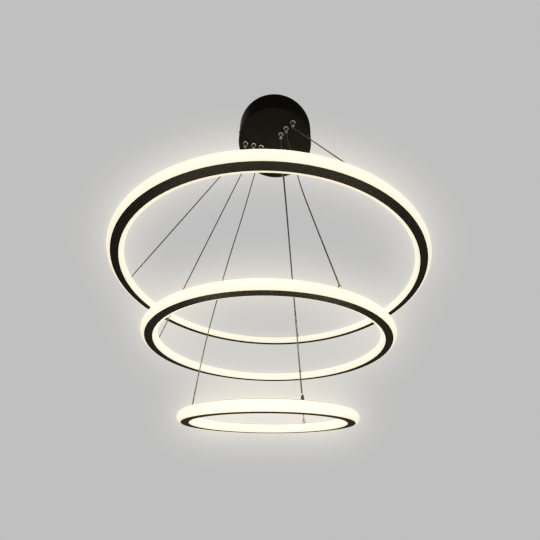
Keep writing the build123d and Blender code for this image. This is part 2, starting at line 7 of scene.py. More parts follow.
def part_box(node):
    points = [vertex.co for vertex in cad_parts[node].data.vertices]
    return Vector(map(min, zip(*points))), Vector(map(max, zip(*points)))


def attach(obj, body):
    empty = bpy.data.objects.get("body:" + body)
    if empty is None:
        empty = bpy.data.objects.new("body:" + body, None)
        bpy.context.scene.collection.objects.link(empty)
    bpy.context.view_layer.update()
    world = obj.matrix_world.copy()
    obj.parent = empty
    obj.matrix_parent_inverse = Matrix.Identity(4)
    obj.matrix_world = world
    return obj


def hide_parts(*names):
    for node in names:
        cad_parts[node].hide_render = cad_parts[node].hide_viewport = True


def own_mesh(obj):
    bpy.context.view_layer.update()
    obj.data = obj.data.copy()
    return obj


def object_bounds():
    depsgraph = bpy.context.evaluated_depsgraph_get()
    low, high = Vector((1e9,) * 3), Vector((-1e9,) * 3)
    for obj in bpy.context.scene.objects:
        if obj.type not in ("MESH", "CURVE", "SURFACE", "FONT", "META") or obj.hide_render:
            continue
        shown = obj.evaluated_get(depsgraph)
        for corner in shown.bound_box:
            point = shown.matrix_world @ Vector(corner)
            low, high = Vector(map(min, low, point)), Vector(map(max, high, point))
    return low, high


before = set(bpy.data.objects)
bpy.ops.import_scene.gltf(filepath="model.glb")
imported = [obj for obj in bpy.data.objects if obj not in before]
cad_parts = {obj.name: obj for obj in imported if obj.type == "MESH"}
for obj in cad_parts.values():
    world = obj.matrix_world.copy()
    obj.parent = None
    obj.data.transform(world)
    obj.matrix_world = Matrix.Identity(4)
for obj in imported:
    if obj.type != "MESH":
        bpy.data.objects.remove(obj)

bl_info = {
    "name": "LED ring chandelier",
    "version": (1, 0, 0),
    "blender": (4, 5, 0),
    "location": "3D View > Sidebar > Chandelier",
    "description": "Models and finishes a ceiling light of three glowing rings around its frame",
    "category": "Object",
}

# A ceiling light of three level rings on thin cables, seen from below.
# Metres, +Z up, the ceiling at Z 0.

MILLIMETRE = 0.001
RING_NAMES = ("large", "medium", "small")
CABLE_NUMBERS = (1, 2, 3)
CAD_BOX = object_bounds()
SOLID_SPREAD = 25 * MILLIMETRE  # wider than a cone, and far less than the space between two


# ---- sizes and colours that a user would change
class ChandelierSizes(bpy.types.PropertyGroup):
    """Sizes of what is modelled around the frame."""

    diffuser_wall: bpy.props.FloatProperty(
        name="Diffuser wall", description="Thickness of the milky profile",
        default=1.8 * MILLIMETRE, unit="LENGTH")
    frame_lip: bpy.props.FloatProperty(
        name="Frame lip", description="Thickness of the lip that covers the foot of a diffuser",
        default=0.8 * MILLIMETRE, unit="LENGTH")
    ring_sides: bpy.props.IntProperty(
        name="Ring sides", description="Sides of a diffuser round its ring", default=320, min=64)
    cable_diameter: bpy.props.FloatProperty(
        name="Cable diameter", description="Steel strands with their clear jacket",
        default=3.2 * MILLIMETRE, unit="LENGTH")
    strand_groove: bpy.props.FloatProperty(
        name="Strand groove", description="Depth of the grooves between the strands",
        default=0.25 * MILLIMETRE, unit="LENGTH")
    lay_length: bpy.props.FloatProperty(
        name="Lay length", description="Length of cable in which a strand goes once round",
        default=26 * MILLIMETRE, unit="LENGTH")


class ChandelierColours(bpy.types.PropertyGroup):
    """Colours of the finishes."""

    glow_middle: bpy.props.FloatVectorProperty(
        name="Glow, middle", description="Light of a diffuser at the middle of its height",
        default=(1.0, 0.95, 0.74), subtype="COLOR", size=3, min=0, max=1)
    glow_edge: bpy.props.FloatVectorProperty(
        name="Glow, edge", description="Light of a diffuser beside the frame",
        default=(0.93, 0.80, 0.61), subtype="COLOR", size=3, min=0, max=1)
    ring_light: bpy.props.FloatProperty(
        name="Ring light", default=2.4, min=0,
        description="How much more light a diffuser gives than a picture can show")
    black_frame: bpy.props.FloatVectorProperty(
        name="Ring frames", description="Black anodised aluminium",
        default=(0.013, 0.0100, 0.0076), subtype="COLOR", size=3, min=0, max=1)
    black_canopy: bpy.props.FloatVectorProperty(
        name="Canopy", description="Black powder coat",
        default=(0.029, 0.0255, 0.0210), subtype="COLOR", size=3, min=0, max=1)
    chrome: bpy.props.FloatVectorProperty(
        name="Chrome", description="Polished plate of the grippers and cones",
        default=(0.78, 0.78, 0.79), subtype="COLOR", size=3, min=0, max=1)
    cable_steel: bpy.props.FloatVectorProperty(
        name="Cable steel", description="Steel strands under a clear jacket",
        default=(0.40, 0.40, 0.385), subtype="COLOR", size=3, min=0, max=1)


class ChandelierStage(bpy.types.PropertyGroup):
    """Backdrop, floor, lights and halo."""

    backdrop: bpy.props.FloatProperty(
        name="Backdrop", description="Brightness of the plain grey all round", default=0.527, min=0)
    floor_height: bpy.props.FloatProperty(
        name="Floor height", description="Height of the floor, below the ceiling",
        default=-2.6, unit="LENGTH")
    floor_radius: bpy.props.FloatProperty(
        name="Floor radius", description="Radius of the round floor", default=5.5, unit="LENGTH")
    room_glow: bpy.props.FloatVectorProperty(
        name="Room glow", description="Soft light that reaches the object from all round",
        default=(0.050, 0.047, 0.043), subtype="COLOR", size=3, min=0, max=1)
    near_haze: bpy.props.FloatProperty(
        name="Near haze", description="Strength of the narrow haze beside the lit rings",
        default=0.15, min=0)
    wide_haze: bpy.props.FloatProperty(
        name="Wide haze", description="Strength of the wide haze round the lit rings",
        default=0.86, min=0)
    haze_colour: bpy.props.FloatVectorProperty(
        name="Haze colour", description="Tint of both hazes",
        default=(1.0, 0.874, 0.61), subtype="COLOR", size=3, min=0, max=1)


def sizes():
    return bpy.context.scene.chandelier_sizes


def colours():
    return bpy.context.scene.chandelier_colours


def stage_settings():
    return bpy.context.scene.chandelier_stage


# ---- reading the frame
def radii_and_heights(node):
    """Smallest and largest distance from the Z axis, lowest and highest point of a CAD node."""
    points = [vertex.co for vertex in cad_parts[node].data.vertices]
    reaches = [math.hypot(point.x, point.y) for point in points]
    heights = [point.z for point in points]
    return min(reaches), max(reaches), min(heights), max(heights)


def islands(node):
    """The middles, in X and Y, of a node's separate solids, in the order of their points."""
    groups = []
    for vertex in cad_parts[node].data.vertices:
        spot = Vector((vertex.co.x, vertex.co.y))
        for group in groups:
            if (spot - group[0]).length < SOLID_SPREAD:
                group.append(spot)
                break
        else:
            groups.append([spot])
    middles = []
    for group in groups:
        xs, ys = [spot.x for spot in group], [spot.y for spot in group]
        middles.append(((min(xs) + max(xs)) / 2, (min(ys) + max(ys)) / 2))
    return middles


# ---- routes of the cables, from the mouth of the gripper to the top of the cone
CABLE_ROUTES = {
    "large_cable_1": [
        (-0.1034, -0.0036, -0.1005), (-0.2430, 0.0049, -0.3680), (-0.3825, 0.0134, -0.6355)],
    "large_cable_2": [
        (0.0533, -0.0887, -0.1005), (0.1445, -0.1951, -0.3680), (0.2356, -0.3016, -0.6355)],
    "large_cable_3": [
        (0.0371, 0.0966, -0.1005), (0.0777, 0.2303, -0.3680), (0.1183, 0.3640, -0.6355)],
    "medium_cable_1": [
        (-0.0750, 0.0, -0.1005), (-0.1785, 0.0099, -0.4535), (-0.2820, 0.0197, -0.8065)],
    "medium_cable_2": [
        (0.0329, -0.0674, -0.1005), (0.0405, -0.0963, -0.2064), (0.0502, -0.1253, -0.3123),
        (0.0607, -0.1638, -0.4535), (0.0802, -0.2024, -0.5947), (0.1105, -0.2602, -0.8065)],
    "medium_cable_3": [
        (0.0329, 0.0674, -0.1005), (0.0717, 0.1638, -0.4535), (0.1105, 0.2602, -0.8065)],
    "small_cable_1": [
        (-0.0488, 0.0043, -0.1005), (-0.0904, 0.0106, -0.3651), (-0.1239, 0.0148, -0.5415),
        (-0.1496, 0.0187, -0.7003), (-0.1698, 0.0220, -0.8414), (-0.1809, 0.0254, -0.9825)],
    "small_cable_2": [
        (0.0176, -0.0457, -0.1005), (0.0340, -0.1107, -0.5415), (0.0504, -0.1756, -0.9825)],
    "small_cable_3": [
        (0.0295, 0.0391, -0.1005), (0.0658, 0.0953, -0.5415), (0.1022, 0.1515, -0.9825)],
}


# ---- modelling by hand
def clear_selection():
    if bpy.context.object and bpy.context.object.mode != "OBJECT":
        bpy.ops.object.mode_set(mode="OBJECT")
    bpy.ops.object.select_all(action="DESELECT")


def make_active(piece):
    clear_selection()
    piece.select_set(True)
    bpy.context.view_layer.objects.active = piece


def apply_modifiers(piece):
    make_active(piece)
    for modifier in list(piece.modifiers):
        bpy.ops.object.modifier_apply(modifier=modifier.name)


def apply_place(piece):
    make_active(piece)
    bpy.ops.object.transform_apply(location=True, rotation=True, scale=True)


def smooth(piece, degrees=35):
    make_active(piece)
    bpy.ops.object.shade_smooth_by_angle(angle=math.radians(degrees))


def turned_form(name, outline, sides, closed=True):
    """A turned piece: a circle at the outline's first (radius, height), extruded to each next.

    A closed outline comes back to its start. An open one is capped at both ends."""
    clear_selection()
    radius, height = outline[0]
    bpy.ops.mesh.primitive_circle_add(vertices=sides, radius=radius, location=(0, 0, height),
                                      fill_type="NOTHING" if closed else "NGON")
    piece = bpy.context.object
    piece.name = piece.data.name = name
    apply_place(piece)
    bpy.ops.object.mode_set(mode="EDIT")
    bpy.ops.mesh.select_all(action="SELECT")
    for next_radius, next_height in outline[1:] + (outline[:1] if closed else []):
        bpy.ops.mesh.extrude_region_move(
            TRANSFORM_OT_translate={"value": (0, 0, next_height - height)})
        share = next_radius / radius
        bpy.ops.transform.resize(value=(share, share, 1), center_override=(0, 0, next_height))
        radius, height = next_radius, next_height
    bpy.ops.mesh.select_all(action="SELECT")
    bpy.ops.mesh.remove_doubles(threshold=0.002 * MILLIMETRE)
    bpy.ops.mesh.normals_make_consistent(inside=False)
    bpy.ops.object.mode_set(mode="OBJECT")
    return piece


def copies_at(piece, places):
    """Copies of a piece at each (x, y, z), joined to one piece with its origin at the world's."""
    copies = []
    for place in places:
        copy = piece.copy()
        copy.data = piece.data.copy()
        bpy.context.scene.collection.objects.link(copy)
        copy.location = place
        copies.append(copy)
    name = piece.name
    bpy.data.objects.remove(piece)
    clear_selection()
    for copy in copies:
        copy.select_set(True)
    bpy.context.view_layer.objects.active = copies[0]
    bpy.ops.object.join()
    joined = bpy.context.object
    apply_place(joined)
    joined.name = joined.data.name = name
    return joined


def profile(base, *points):
    """An outline in metres from points (radius, height above the base) in millimetres."""
    return [(radius * MILLIMETRE, base + height * MILLIMETRE) for radius, height in points]


def close_ends(piece):
    """Fills the open ends of a drawn out piece and turns its faces outwards."""
    make_active(piece)
    bpy.ops.object.mode_set(mode="EDIT")
    bpy.ops.mesh.select_all(action="SELECT")
    bpy.ops.mesh.fill_holes(sides=0)
    bpy.ops.mesh.normals_make_consistent(inside=False)
    bpy.ops.object.mode_set(mode="OBJECT")


def finish_piece(piece, body, slot, material, *nodes):
    """Gives a piece its finish and its body, and hides the CAD nodes that it stands for."""
    piece.data.materials.clear()
    piece.data.materials.append(material)
    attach(piece, body)
    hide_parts(*nodes)


# ---- shader nodes and groups that several finishes share
def object_axes(nodes, links):
    """The place in the object's own axes, and the same split into X, Y and Z."""
    where = nodes.new("ShaderNodeTexCoord")
    split = nodes.new("ShaderNodeSeparateXYZ")
    links.new(where.outputs["Object"], split.inputs[0])
    return where.outputs["Object"], split.outputs


def multiply_add(nodes, links, value, factor, addend):
    """value * factor + addend, of which the addend can be a plain number."""
    node = nodes.new("ShaderNodeMath")
    node.operation = "MULTIPLY_ADD"
    links.new(value, node.inputs[0])
    links.new(factor, node.inputs[1])
    if isinstance(addend, float):
        node.inputs[2].default_value = addend
    else:
        links.new(addend, node.inputs[2])
    return node.outputs[0]


def new_group(name, inputs, outputs):
    """An empty shader group with (name, type, default) inputs and (name, type) outputs."""
    group = bpy.data.node_groups.new(name, "ShaderNodeTree")
    for socket_name, kind, default in inputs:
        socket = group.interface.new_socket(socket_name, in_out="INPUT", socket_type=kind)
        socket.default_value = default
    for socket_name, kind in outputs:
        group.interface.new_socket(socket_name, in_out="OUTPUT", socket_type=kind)
    return group, group.nodes.new("NodeGroupInput"), group.nodes.new("NodeGroupOutput")


def fine_surface_group():
    """Small relief and patchy tone and gloss: the grain of a coating or a moulding."""
    group, given, result = new_group(
        "fine_surface",
        [("Colour", "NodeSocketColor", (0.5, 0.5, 0.5, 1)), ("Tone Shift", "NodeSocketFloat", 0.15),
         ("Roughness", "NodeSocketFloat", 0.5), ("Gloss Shift", "NodeSocketFloat", 0.1),
         ("Grain Scale", "NodeSocketFloat", 900.0), ("Patch Scale", "NodeSocketFloat", 14.0)],
        [("Colour", "NodeSocketColor"), ("Roughness", "NodeSocketFloat"),
         ("Height", "NodeSocketFloat")])
    nodes, links = group.nodes, group.links
    where = nodes.new("ShaderNodeTexCoord")
    grain = nodes.new("ShaderNodeTexNoise")
    grain.inputs["Detail"].default_value = 3.0
    patch = nodes.new("ShaderNodeTexNoise")
    patch.inputs["Detail"].default_value = 4.0
    for noise, scale in ((grain, "Grain Scale"), (patch, "Patch Scale")):
        links.new(where.outputs["Object"], noise.inputs["Vector"])
        links.new(given.outputs[scale], noise.inputs["Scale"])
    tone = multiply_add(nodes, links, patch.outputs["Fac"], given.outputs["Tone Shift"], 1.0)
    brighter = nodes.new("ShaderNodeVectorMath")
    brighter.operation = "SCALE"
    links.new(given.outputs["Colour"], brighter.inputs[0])
    links.new(tone, brighter.inputs["Scale"])
    gloss = multiply_add(nodes, links, patch.outputs["Fac"], given.outputs["Gloss Shift"],
                         given.outputs["Roughness"])
    links.new(brighter.outputs[0], result.inputs["Colour"])
    links.new(gloss, result.inputs["Roughness"])
    links.new(grain.outputs["Fac"], result.inputs["Height"])
    return group


def lathe_lines_group():
    """Fine lines round the Z axis, as a lathe or a die leaves, by distance from it and height."""
    group, given, result = new_group(
        "lathe_lines",
        [("Line Scale", "NodeSocketFloat", 1500.0), ("Roughness", "NodeSocketFloat", 0.3),
         ("Gloss Shift", "NodeSocketFloat", 0.12)],
        [("Roughness", "NodeSocketFloat"), ("Height", "NodeSocketFloat")])
    nodes, links = group.nodes, group.links
    _, axes = object_axes(nodes, links)
    flat = nodes.new("ShaderNodeCombineXYZ")
    links.new(axes["X"], flat.inputs["X"])
    links.new(axes["Y"], flat.inputs["Y"])
    reach = nodes.new("ShaderNodeVectorMath")
    reach.operation = "LENGTH"
    links.new(flat.outputs[0], reach.inputs[0])
    line_place = nodes.new("ShaderNodeCombineXYZ")
    links.new(reach.outputs["Value"], line_place.inputs["X"])
    links.new(axes["Z"], line_place.inputs["Y"])
    lines = nodes.new("ShaderNodeTexNoise")
    lines.inputs["Detail"].default_value = 2.0
    links.new(line_place.outputs[0], lines.inputs["Vector"])
    links.new(given.outputs["Line Scale"], lines.inputs["Scale"])
    gloss = multiply_add(nodes, links, lines.outputs["Fac"], given.outputs["Gloss Shift"],
                         given.outputs["Roughness"])
    links.new(gloss, result.inputs["Roughness"])
    links.new(lines.outputs["Fac"], result.inputs["Height"])
    return group


def group_named(name, maker):
    return bpy.data.node_groups.get(name) or maker()


# ---- finishes
def new_material(name, **values):
    """A material with its Principled shader, some of its sockets set by name."""
    material = bpy.data.materials.get(name) or bpy.data.materials.new(name)
    material.use_nodes = True
    material.node_tree.nodes.clear()
    nodes, links = material.node_tree.nodes, material.node_tree.links
    shader = nodes.new("ShaderNodeBsdfPrincipled")
    output = nodes.new("ShaderNodeOutputMaterial")
    links.new(shader.outputs[0], output.inputs["Surface"])
    for socket, value in values.items():
        shader.inputs[socket.replace("_", " ")].default_value = value
    return material, nodes, links, shader


def add_relief(nodes, links, shader, height, distance):
    bump = nodes.new("ShaderNodeBump")
    bump.inputs["Distance"].default_value = distance
    bump.inputs["Strength"].default_value = 1.0
    links.new(height, bump.inputs["Height"])
    links.new(bump.outputs["Normal"], shader.inputs["Normal"])


def fine_surface(nodes, roughness, tone, gloss, grain, patch):
    """The grain and the patches of a surface, without its colour."""
    surface = nodes.new("ShaderNodeGroup")
    surface.node_tree = group_named("fine_surface", fine_surface_group)
    given = {"Roughness": roughness, "Tone Shift": tone, "Gloss Shift": gloss,
             "Grain Scale": grain, "Patch Scale": patch}
    for socket, value in given.items():
        surface.inputs[socket].default_value = value
    return surface


def coated(name, colour, roughness, tone=0.15, gloss=0.1, grain=900.0, patch=14.0, relief=0.03,
           **values):
    """A finish with grain and patches: paint, plastic or plated sheet. Its relief is in mm."""
    material, nodes, links, shader = new_material(name, **values)
    surface = fine_surface(nodes, roughness, tone, gloss, grain, patch)
    surface.inputs["Colour"].default_value = (*colour, 1)
    links.new(surface.outputs["Colour"], shader.inputs["Base Color"])
    links.new(surface.outputs["Roughness"], shader.inputs["Roughness"])
    add_relief(nodes, links, shader, surface.outputs["Height"], relief * MILLIMETRE)
    return material


def lined(name, colour, roughness, gloss=0.12, lines=1500.0, relief=0.004, **values):
    """A metal with fine lines round the axis of the light. Its relief is in mm."""
    material, nodes, links, shader = new_material(name, **values)
    shader.inputs["Base Color"].default_value = (*colour, 1)
    lathe = nodes.new("ShaderNodeGroup")
    lathe.node_tree = group_named("lathe_lines", lathe_lines_group)
    for socket, value in (("Line Scale", lines), ("Roughness", roughness), ("Gloss Shift", gloss)):
        lathe.inputs[socket].default_value = value
    links.new(lathe.outputs["Roughness"], shader.inputs["Roughness"])
    add_relief(nodes, links, shader, lathe.outputs["Height"], relief * MILLIMETRE)
    return material


def lit_diffuser(ring, low, high):
    """Milky plastic lit from inside: brightest at the middle of its height, warmer at its edges."""
    material, nodes, links, shader = new_material(
        f"lit_diffuser_{ring}", Base_Color=(0.30, 0.29, 0.26, 1), Emission_Strength=0.86,
        Specular_IOR_Level=0.35)
    _, axes = object_axes(nodes, links)
    level = nodes.new("ShaderNodeMapRange")
    level.inputs["From Min"].default_value = low
    level.inputs["From Max"].default_value = high
    links.new(axes["Z"], level.inputs["Value"])
    ramp = nodes.new("ShaderNodeValToRGB")
    ramp.color_ramp.interpolation = "B_SPLINE"
    edge, middle = (*colours().glow_edge, 1), (*colours().glow_middle, 1)
    stops = ((0.0, edge), (0.22, middle), (0.5, middle), (0.78, middle), (1.0, edge))
    ramp.color_ramp.elements[0].position, ramp.color_ramp.elements[0].color = stops[0]
    ramp.color_ramp.elements[1].position, ramp.color_ramp.elements[1].color = stops[-1]
    for position, colour in stops[1:-1]:
        ramp.color_ramp.elements.new(position).color = colour
    links.new(level.outputs[0], ramp.inputs["Fac"])
    surface = fine_surface(nodes, roughness=0.42, tone=0.02, gloss=0.08, grain=600.0, patch=9.0)
    links.new(ramp.outputs["Color"], surface.inputs["Colour"])
    links.new(real_light(nodes, links, surface.outputs["Colour"]), shader.inputs["Emission Color"])
    links.new(surface.outputs["Roughness"], shader.inputs["Roughness"])
    add_relief(nodes, links, shader, surface.outputs["Height"], 0.01 * MILLIMETRE)
    return material


def real_light(nodes, links, colour):
    """The colour as the camera sees it, and brighter for all that it lights.

    A picture stops at white, and a lit diffuser is brighter than that."""
    seen = nodes.new("ShaderNodeLightPath")
    share = nodes.new("ShaderNodeMapRange")
    share.inputs["To Min"].default_value = colours().ring_light
    share.inputs["To Max"].default_value = 1.0
    links.new(seen.outputs["Is Camera Ray"], share.inputs["Value"])
    lit = nodes.new("ShaderNodeVectorMath")
    lit.operation = "SCALE"
    links.new(colour, lit.inputs[0])
    links.new(share.outputs[0], lit.inputs["Scale"])
    return lit.outputs[0]


def board_material():
    """Green board below, dark and pale components above it, by height and by cell."""
    board_green = (0.02, 0.16, 0.05, 1)
    dark_component, pale_component = (0.02, 0.02, 0.025, 1), (0.35, 0.30, 0.12, 1)
    board_thickness = 1.7 * MILLIMETRE
    material, nodes, links, shader = new_material("circuit_board", Roughness=0.4)
    low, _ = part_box("driver_board")
    place, axes = object_axes(nodes, links)
    above = nodes.new("ShaderNodeMath")
    above.operation = "GREATER_THAN"
    above.inputs[1].default_value = low.z + board_thickness
    links.new(axes["Z"], above.inputs[0])
    cells = nodes.new("ShaderNodeTexVoronoi")
    cells.inputs["Scale"].default_value = 60.0
    links.new(place, cells.inputs["Vector"])
    parts = nodes.new("ShaderNodeMix")
    parts.data_type = "RGBA"
    parts.inputs["A"].default_value = dark_component
    parts.inputs["B"].default_value = pale_component
    links.new(cells.outputs["Distance"], parts.inputs["Factor"])
    tone = nodes.new("ShaderNodeMix")
    tone.data_type = "RGBA"
    tone.inputs["A"].default_value = board_green
    links.new(above.outputs[0], tone.inputs["Factor"])
    links.new(parts.outputs["Result"], tone.inputs["B"])
    links.new(tone.outputs["Result"], shader.inputs["Base Color"])
    return material


def black_frame():
    return lined("black_anodised", colours().black_frame, roughness=0.36, gloss=0.05,
                 lines=900.0, relief=0.0002, Specular_IOR_Level=0.38)


def black_canopy():
    return coated("black_powder_coat", colours().black_canopy, roughness=0.55, tone=0.3,
                  gloss=0.12, grain=1100.0, relief=0.05, Specular_IOR_Level=0.15)


def polished_chrome():
    return coated("polished_chrome", colours().chrome, roughness=0.05, tone=0.05, gloss=0.06,
                  grain=400.0, patch=60.0, relief=0.002, Metallic=1.0)


def cable_steel():
    return coated("cable_steel", colours().cable_steel, roughness=0.35, tone=0.2, grain=700.0,
                  patch=90.0, relief=0.01, Metallic=0.25, Coat_Weight=0.5, Coat_Roughness=0.25)


def zinc_plate():
    return coated("zinc_plate", (0.46, 0.47, 0.48), roughness=0.26, tone=0.5, gloss=0.2,
                  grain=500.0, patch=110.0, relief=0.01, Metallic=1.0)


def spring_wire():
    return coated("spring_wire", (0.40, 0.40, 0.41), roughness=0.25, tone=0.2, grain=800.0,
                  patch=120.0, relief=0.005, Metallic=1.0)


def black_screw():
    return coated("black_screw", (0.02, 0.02, 0.02), roughness=0.30, tone=0.4, gloss=0.15,
                  patch=200.0, relief=0.008, Specular_IOR_Level=0.5)


def moulded(name, colour, roughness=0.38):
    return coated(name, colour, roughness, tone=0.06, grain=1300.0, patch=22.0)


def white_wire():
    return moulded("white_wire", (0.72, 0.72, 0.70))


def driver_plastic():
    return moulded("driver_plastic", (0.74, 0.74, 0.71))


def lit_strip():
    return coated("lit_strip", (0.75, 0.6, 0.25), roughness=0.45, grain=700.0, relief=0.02,
                  Emission_Color=(1.0, 0.86, 0.62, 1), Emission_Strength=1.2)


# ---- operators
class CHANDELIER_OT_camera(bpy.types.Operator):
    """Places the camera below and in front of the light, looking up at it"""

    bl_idname = "chandelier.camera"
    bl_label = "Camera"

    def execute(self, context):
        clear_selection()
        place = Vector((-0.0278, -0.7106, -1.0985))
        pitch, yaw, roll = 0.4213, -0.0883, -0.0009  # radians
        focal_pixels, picture_pixels = 301.8, 540.0
        centre_x, centre_y = 284.7, 329.2  # pixels from the top left
        bpy.ops.object.camera_add(location=place)
        camera = context.object
        camera.name = "camera"
        forward = Vector((-math.sin(yaw) * math.cos(pitch), math.cos(yaw) * math.cos(pitch),
                          math.sin(pitch)))
        right = Vector((math.cos(yaw), math.sin(yaw), 0))
        up = right.cross(forward)
        turned = Matrix.Rotation(roll, 3, forward)
        camera.matrix_world = Matrix((
            (*(turned @ right),), (*(turned @ up),), (*(turned @ -forward),))).transposed().to_4x4()
        camera.location = place
        camera.data.sensor_width = 36.0
        camera.data.lens = camera.data.sensor_width * focal_pixels / picture_pixels
        camera.data.shift_x = -(centre_x - picture_pixels / 2) / picture_pixels
        camera.data.shift_y = (centre_y - picture_pixels / 2) / picture_pixels
        camera.data.clip_start = 0.01
        context.scene.camera = camera
        return {"FINISHED"}


class CHANDELIER_OT_cables(bpy.types.Operator):
    """Models the nine stranded steel cables between the grippers and the rings"""

    bl_idname = "chandelier.cables"
    bl_label = "Suspension cables"

    lobes = 6
    points_per_lobe = 3
    steps_per_lay = 20

    def route(self, node):
        """The cable's line, a smooth spline along its route, and the same line as points."""
        curve = bpy.data.curves.new(f"{node}_route", "CURVE")
        curve.dimensions = "3D"
        spline = curve.splines.new("NURBS")
        spline.points.add(len(CABLE_ROUTES[node]) - 1)
        for point, place in zip(spline.points, CABLE_ROUTES[node]):
            point.co = (*place, 1)
        spline.order_u = 3
        spline.use_endpoint_u = True
        spline.resolution_u = 12
        route = bpy.data.objects.new(f"{node}_route", curve)
        bpy.context.scene.collection.objects.link(route)
        bpy.context.view_layer.update()
        line = bpy.data.meshes.new_from_object(route)
        points = [vertex.co.copy() for vertex in line.vertices]
        bpy.data.meshes.remove(line)
        return route, points

    def one_lay(self, name, lay):
        """One turn of the strands, along X: a lobed circle, extruded and turned step by step."""
        clear_selection()
        sides = self.lobes * self.points_per_lobe
        radius = sizes().cable_diameter / 2
        bpy.ops.mesh.primitive_circle_add(vertices=sides, radius=radius,
                                          rotation=(0, math.pi / 2, 0))
        piece = bpy.context.object
        piece.name = piece.data.name = name
        apply_place(piece)
        for number, vertex in enumerate(piece.data.vertices):
            if number % self.points_per_lobe == 0:
                vertex.co *= 1 - sizes().strand_groove / radius
        bpy.ops.object.mode_set(mode="EDIT")
        bpy.ops.mesh.select_all(action="SELECT")
        for _ in range(self.steps_per_lay):
            bpy.ops.mesh.extrude_region_move(
                TRANSFORM_OT_translate={"value": (lay / self.steps_per_lay, 0, 0)})
            bpy.ops.transform.rotate(value=math.tau / self.steps_per_lay, orient_axis="X",
                                     center_override=(0, 0, 0))
        bpy.ops.object.mode_set(mode="OBJECT")
        return piece

    def execute(self, context):
        material = cable_steel()
        for ring in RING_NAMES:
            for number in CABLE_NUMBERS:
                node = f"{ring}_cable_{number}"
                route, points = self.route(node)
                length = sum((b - a).length for a, b in zip(points, points[1:]))
                turns = round(length / sizes().lay_length)
                piece = self.one_lay(f"{node}_strands", length / turns)
                array = piece.modifiers.new("lays", "ARRAY")
                array.count = turns
                array.use_merge_vertices = True
                array.merge_threshold = 0.01 * MILLIMETRE
                follow = piece.modifiers.new("route", "CURVE")
                follow.object = route
                apply_modifiers(piece)
                close_ends(piece)
                smooth(piece, degrees=60)
                bpy.data.objects.remove(route)
                finish_piece(piece, "canopy", "cable_steel", material, node)
                self.shorten(piece, f"{ring}_height", points[0], points[-1])
        return {"FINISHED"}

    def shorten(self, piece, joint, top, bottom):
        """Gives the cable a mesh of its own."""
        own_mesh(piece)


def diffuser_outline(edge, side, reach, low, high):
    """The C-shaped section of a diffuser, from its lower foot round the bulge and back inside."""
    wall = sizes().diffuser_wall
    rise, middle = (high - low) / 2, (high + low) / 2
    bulge = abs(reach - edge)
    outside_steps, inside_steps = 22, 16

    def arc(width, height, steps, direction):
        for step in range(steps + 1):
            angle = direction * (math.pi * step / steps - math.pi / 2)
            yield edge + side * width * math.cos(angle), middle + height * math.sin(angle)

    outline = list(arc(bulge, rise, outside_steps, 1))
    outline += [(edge - side * wall, high), (edge - side * wall, high - wall)]
    outline += list(arc(bulge - wall, rise - wall, inside_steps, -1))
    outline += [(edge - side * wall, low + wall), (edge - side * wall, low)]
    return outline


class CHANDELIER_OT_diffusers(bpy.types.Operator):
    """Models the lit milky profiles on the outer and inner side of each ring"""

    bl_idname = "chandelier.diffusers"
    bl_label = "Lit diffusers"

    def execute(self, context):
        lip = sizes().frame_lip
        for ring in RING_NAMES:
            inner_edge, outer_edge, low, high = radii_and_heights(f"{ring}_frame")
            material = lit_diffuser(ring, low, high)
            for place, edge, side in (("outer", outer_edge, 1), ("inner", inner_edge, -1)):
                node = f"{ring}_{place}_diffuser"
                nearest, furthest, _, _ = radii_and_heights(node)
                reach = furthest if side > 0 else nearest
                outline = diffuser_outline(edge, side, reach, low + lip, high - lip)
                piece = turned_form(f"{node}_profile", outline, sizes().ring_sides)
                smooth(piece, degrees=50)
                finish_piece(piece, f"{ring}_ring", "diffuser", material, node)
        return {"FINISHED"}


class CHANDELIER_OT_ring_frames(bpy.types.Operator):
    """Finishes the rolled frames, their splices, light strips and small fittings"""

    bl_idname = "chandelier.ring_frames"
    bl_label = "Ring frames"

    def execute(self, context):
        finishes = {
            "frame": black_frame(),
            "splice_block": zinc_plate(),
            "splice_screws": black_screw(),
            "cone_nuts": zinc_plate(),
            "led_strips": lit_strip(),
            "feed_leads": white_wire(),
        }
        for ring in RING_NAMES:
            for part, material in finishes.items():
                paint(f"{ring}_{part}", material)
        return {"FINISHED"}


def paint(node, material):
    """Gives a CAD node its finish."""
    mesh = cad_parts[node].data
    mesh.materials.clear()
    mesh.materials.append(material)


class CHANDELIER_OT_cable_cones(bpy.types.Operator):
    """Models the polished cones on the rings that hold the ends of the cables"""

    bl_idname = "chandelier.cable_cones"
    bl_label = "Cable cones"

    sides = 40

    def outline(self, low, foot, high):
        """A stud, a foot with a rounded edge, a shallow groove and a cone."""
        return (profile(low, (1.9, 0), (2.0, 0.2))
                + profile(foot, (2.0, 0), (4.8, 0), (5.0, 0.2), (5.0, 1.7), (4.85, 1.95),
                          (4.45, 2.15), (4.45, 2.5), (4.7, 2.7), (4.1, 5.6))
                + profile(high, (2.75, -0.5), (2.4, 0)))

    def execute(self, context):
        material = polished_chrome()
        for ring in RING_NAMES:
            node = f"{ring}_cable_cones"
            low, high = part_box(node)
            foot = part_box(f"{ring}_frame")[1].z
            cone = turned_form(f"{node}_turned", self.outline(low.z, foot, high.z), self.sides,
                               closed=False)
            cones = copies_at(cone, [(x, y, 0) for x, y in islands(node)])
            smooth(cones)
            finish_piece(cones, f"{ring}_ring", "chrome", material, node)
        return {"FINISHED"}


